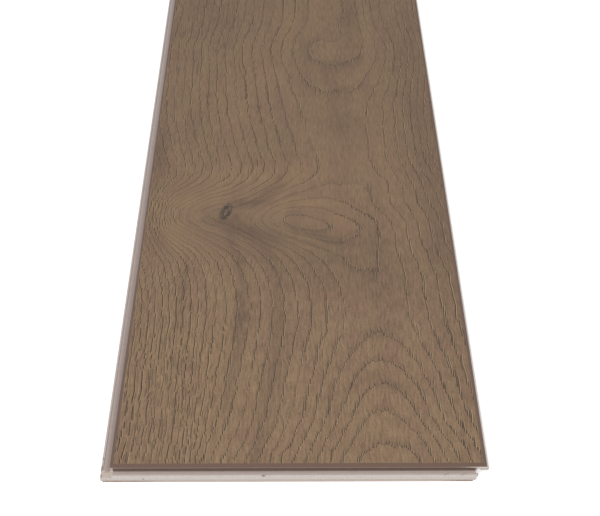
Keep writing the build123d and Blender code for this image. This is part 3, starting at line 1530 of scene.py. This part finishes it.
@dataclass
class PrintedFilm:
    """The film on the core: an embossed face, its painted rim and a flat underside.

    The rim runs out by rim_run for each millimetre down. The face is embossed in full from twice
    rim_flat inside its edge, and not at all outside rim_flat.
    """

    rings: GrowthRings
    finish: OakPrint = OakPrint()
    columns: int = 200
    rows: int = 470
    rim_run: float = 1.5
    rim_flat: float = 2.0
    smooth_angle: float = 20.0
    emboss_depth: float = 0.05
    emboss_power: int = 4
    slope_step: float = 0.5
    facing_down: float = -0.5
    underside_strip: float = 0.02
    underside_share: float = 0.8

    # pores stand close on the left, most of all at the near end
    busy_left: Step = Step(-40, -60)
    busy_near: Step = Step(220, 80)
    busy_far: float = 0.65

    def build(self) -> bpy.types.Object:
        """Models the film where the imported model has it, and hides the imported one.

        Returns:
            The finished film.
        """
        low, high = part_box(Part.FILM.value)
        piece = self.shape(low, high)
        self.emboss(piece, high.z)
        self.lay_map(piece, low, high)
        bpy.ops.object.shade_smooth_by_angle(angle=math.radians(self.smooth_angle))
        piece.data.materials.append(self.finish.material(high.z / MM, self.rings))
        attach(piece, "root")
        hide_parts(Part.FILM.value)
        return piece

    def shape(self, low: Vector, high: Vector) -> bpy.types.Object:
        """Models a fine grid for the face, with a sloping rim and one flat face below.

        Args:
            low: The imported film's low corner.
            high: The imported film's high corner.

        Returns:
            The closed mesh.
        """
        size = high - low
        inset = self.rim_run * size.z
        face = Vector((size.x - 2 * inset, size.y - 2 * inset, 1))
        bpy.ops.object.select_all(action="DESELECT")
        bpy.ops.mesh.primitive_grid_add(
            x_subdivisions=self.columns, y_subdivisions=self.rows, size=1, location=(0, 0, 0)
        )
        piece = bpy.context.active_object
        piece.name = "printed_film"
        with edit_mode():
            bpy.ops.transform.resize(value=face, center_override=(0, 0, 0))
            bpy.ops.transform.translate(value=(0, 0, high.z))
            bpy.ops.mesh.region_to_loop()
            bpy.ops.mesh.extrude_edges_move(TRANSFORM_OT_translate={"value": (0, 0, -size.z)})
            rim = (size.x / face.x, size.y / face.y, 1)
            bpy.ops.transform.resize(value=rim, center_override=(0, 0, 0))
            bpy.ops.mesh.edge_face_add()
            bpy.ops.mesh.select_all(action="SELECT")
            bpy.ops.mesh.normals_make_consistent(inside=False)
        return piece

    def emboss(self, piece: bpy.types.Object, top: float) -> None:
        """Stores the print's pattern for the finish and presses the pore lines into the face.

        Args:
            piece: The film.
            top: The face's height in metres.
        """
        places = coordinates(piece)
        across, along = places[:, 0] / MM, places[:, 1] / MM + HALF_LENGTH
        ring = self.rings.number(across, along)
        climb = (self.rings.number(across, along + self.slope_step) - ring) / self.slope_step
        drift = (self.rings.number(across + self.slope_step, along) - ring) / self.slope_step
        keep(piece, "growth", ring, climb, drift)
        busy = self.busy_far + (1 - self.busy_far) * self.busy_near.at(along)
        busy = busy * self.busy_left.at(across) - patched(BARE_PATCHES, across, along)
        shade = patched(DARK_PATCHES, across, along)
        keep(piece, "tone", shade, patched(PALE_PATCHES, across, along), busy)
        from_side = places[:, 0].max() - abs(places[:, 0])
        from_end = places[:, 1].max() - abs(places[:, 1])
        from_edge = np.minimum(from_side, from_end) / MM
        on_face = places[:, 2] > top - 2 * self.emboss_depth * MM
        pressed = np.clip(from_edge / self.rim_flat - 1, 0, 1) * on_face
        valley = ((1 + np.cos(math.tau * ring)) / 2) ** self.emboss_power
        places[:, 2] -= self.emboss_depth * MM * valley * pressed
        piece.data.vertices.foreach_set("co", places.astype(np.float32).ravel())
        piece.data.update()

    def lay_map(self, piece: bpy.types.Object, low: Vector, high: Vector) -> None:
        """Lays the face over a square map, with the underside in a strip at its lower edge.

        Args:
            piece: The film.
            low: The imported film's low corner.
            high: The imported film's high corner.
        """
        mesh = piece.data
        mesh.uv_layers[0].name = "OFBake"
        loops = np.zeros(len(mesh.loops), np.int32)
        mesh.loops.foreach_get("vertex_index", loops)
        places = coordinates(piece)[loops]
        u = (places[:, 0] - low.x) / (high.x - low.x)
        v = (places[:, 1] - low.y) / (high.y - low.y)
        under = np.zeros(len(loops), bool)
        for face in mesh.polygons:
            if face.normal.z < self.facing_down:
                under[face.loop_start : face.loop_start + face.loop_total] = True
        strip = self.underside_strip
        v = np.where(under, v * strip * self.underside_share, strip + v * (1 - strip))
        mesh.uv_layers[0].uv.foreach_set("vector", np.stack([u, v], 1).astype(np.float32).ravel())


@dataclass
class ClickCore:
    """The rigid core with its click edges, as packed."""

    finish: MilledCore = MilledCore()

    def dress(self, node: bpy.types.Object) -> None:
        """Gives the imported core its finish."""
        node.data.materials.clear()
        node.data.materials.append(self.finish.material())


@dataclass
class UnderlayPad:
    """The foam pad below the core, as packed."""

    finish: PadFoam = PadFoam()

    def dress(self, node: bpy.types.Object) -> None:
        """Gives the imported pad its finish."""
        node.data.materials.clear()
        node.data.materials.append(self.finish.material())


@dataclass(frozen=True)
class Lamp:
    """A square soft lamp that shines at the origin, with its place and size in metres."""

    name: str
    place: tuple[float, float, float]
    size: float
    power: float

    def hang(self) -> None:
        """Adds the lamp."""
        lamp = bpy.data.lights.new(self.name, "AREA")
        lamp.shape = "SQUARE"
        lamp.size = self.size
        lamp.energy = self.power
        holder = bpy.data.objects.new(self.name, lamp)
        holder.location = self.place
        holder.rotation_euler = (-Vector(self.place)).to_track_quat("-Z", "Y").to_euler()
        bpy.context.scene.collection.objects.link(holder)


@dataclass
class Studio:
    """A pale floor, soft light and the camera at the photograph's angle.

    Lengths are in metres, apart from the camera's sensor in millimetres and the photograph in pixels.
    """

    sensor_width: float = 36.0
    photo_width: int = 600
    focal_pixels: float = 1928.2
    tilt_down: float = 29.305
    turned_right: float = 0.2687
    camera_place: tuple[float, float, float] = (-0.0036, -1.7174, 0.6884)
    floor_size: float = 30.0
    floor_height: float = -0.0002
    floor_colour: Colour = (0.8, 0.8, 0.8, 1.0)
    floor_glow: float = 0.62
    clear_below: float = 0.0008
    sky_strength: float = 0.38
    lamps: tuple[Lamp, ...] = (
        Lamp("key", (-1.7, -3.4, 2.6), 2.0, 95.0),
        Lamp("fill", (1.8, -1.4, 2.6), 1.8, 22.0),
    )

    def set_camera(self) -> None:
        """Adds the camera."""
        camera = bpy.data.cameras.new("camera")
        camera.sensor_width = self.sensor_width
        camera.lens = self.focal_pixels * self.sensor_width / self.photo_width
        holder = bpy.data.objects.new("camera", camera)
        holder.location = self.camera_place
        pitch = math.radians(90 - self.tilt_down)
        holder.rotation_euler = (pitch, 0, -math.radians(self.turned_right))
        bpy.context.scene.collection.objects.link(holder)
        bpy.context.scene.camera = holder

    def lay_floor(self) -> bpy.types.Object:
        """Adds the floor, which the camera and reflections see as white apart from the plank's shadow.

        It is clear from below, and for rays that start closer to it than clear_below, so that the
        plank's underside is lit when it is looked at from below.

        Returns:
            The floor.
        """
        bpy.ops.object.select_all(action="DESELECT")
        bpy.ops.mesh.primitive_plane_add(size=self.floor_size, location=(0, 0, self.floor_height))
        floor = bpy.context.active_object
        floor.name = "floor"
        recipe = Recipe(bpy.data.materials.new("floor_white"))
        seen = recipe.ray("Is Camera Ray").at_least(recipe.ray("Is Glossy Ray"))
        glow = {"Color": WHITE, "Strength": seen * self.floor_glow}
        white = recipe.node("ShaderNodeEmission", inputs=glow)
        matt = recipe.node("ShaderNodeBsdfDiffuse", inputs={"Color": self.floor_colour})
        lit = recipe.node("ShaderNodeAddShader", inputs={0: white, 1: matt})
        back = recipe.node("ShaderNodeNewGeometry", output="Backfacing")
        close = recipe.ray("Ray Length").maths("LESS_THAN", self.clear_below)
        clear = recipe.node("ShaderNodeBsdfTransparent")
        shares = {0: back.at_least(close), 1: lit, 2: clear}
        recipe.show(recipe.node("ShaderNodeMixShader", inputs=shares))
        floor.data.materials.append(recipe.owner)
        return floor

    def light(self) -> None:
        """Adds the lamps and a white sky that lights more softly than it looks."""
        world = bpy.data.worlds.new("studio")
        bpy.context.scene.world = world
        recipe = Recipe(world)
        seen = recipe.ray("Is Camera Ray").at_least(recipe.ray("Is Transmission Ray"))
        sky = {"Color": WHITE, "Strength": self.sky_strength + seen * (1 - self.sky_strength)}
        recipe.show(recipe.node("ShaderNodeBackground", inputs=sky))
        for lamp in self.lamps:
            lamp.hang()


def main() -> None:
    """Builds the plank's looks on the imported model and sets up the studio."""
    logging.basicConfig(level=logging.INFO, format="%(message)s")
    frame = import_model()
    bpy.context.scene.view_settings.view_transform = "Standard"
    studio = Studio()
    studio.set_camera()
    film = PrintedFilm(GrowthRings()).build()
    log.info("%s: %d vertices, %s", film.name, len(film.data.vertices), film.data.materials[0].name)
    for part, piece in ((Part.CORE, ClickCore()), (Part.PAD, UnderlayPad())):
        node = frame["nodes"][part.value]
        piece.dress(node)
        log.info("%s: %s", node.name, node.data.materials[0].name)
    floor = studio.lay_floor()
    log.info("%s: %s", floor.name, floor.data.materials[0].name)
    studio.light()


if __name__ == "__main__":
    main()
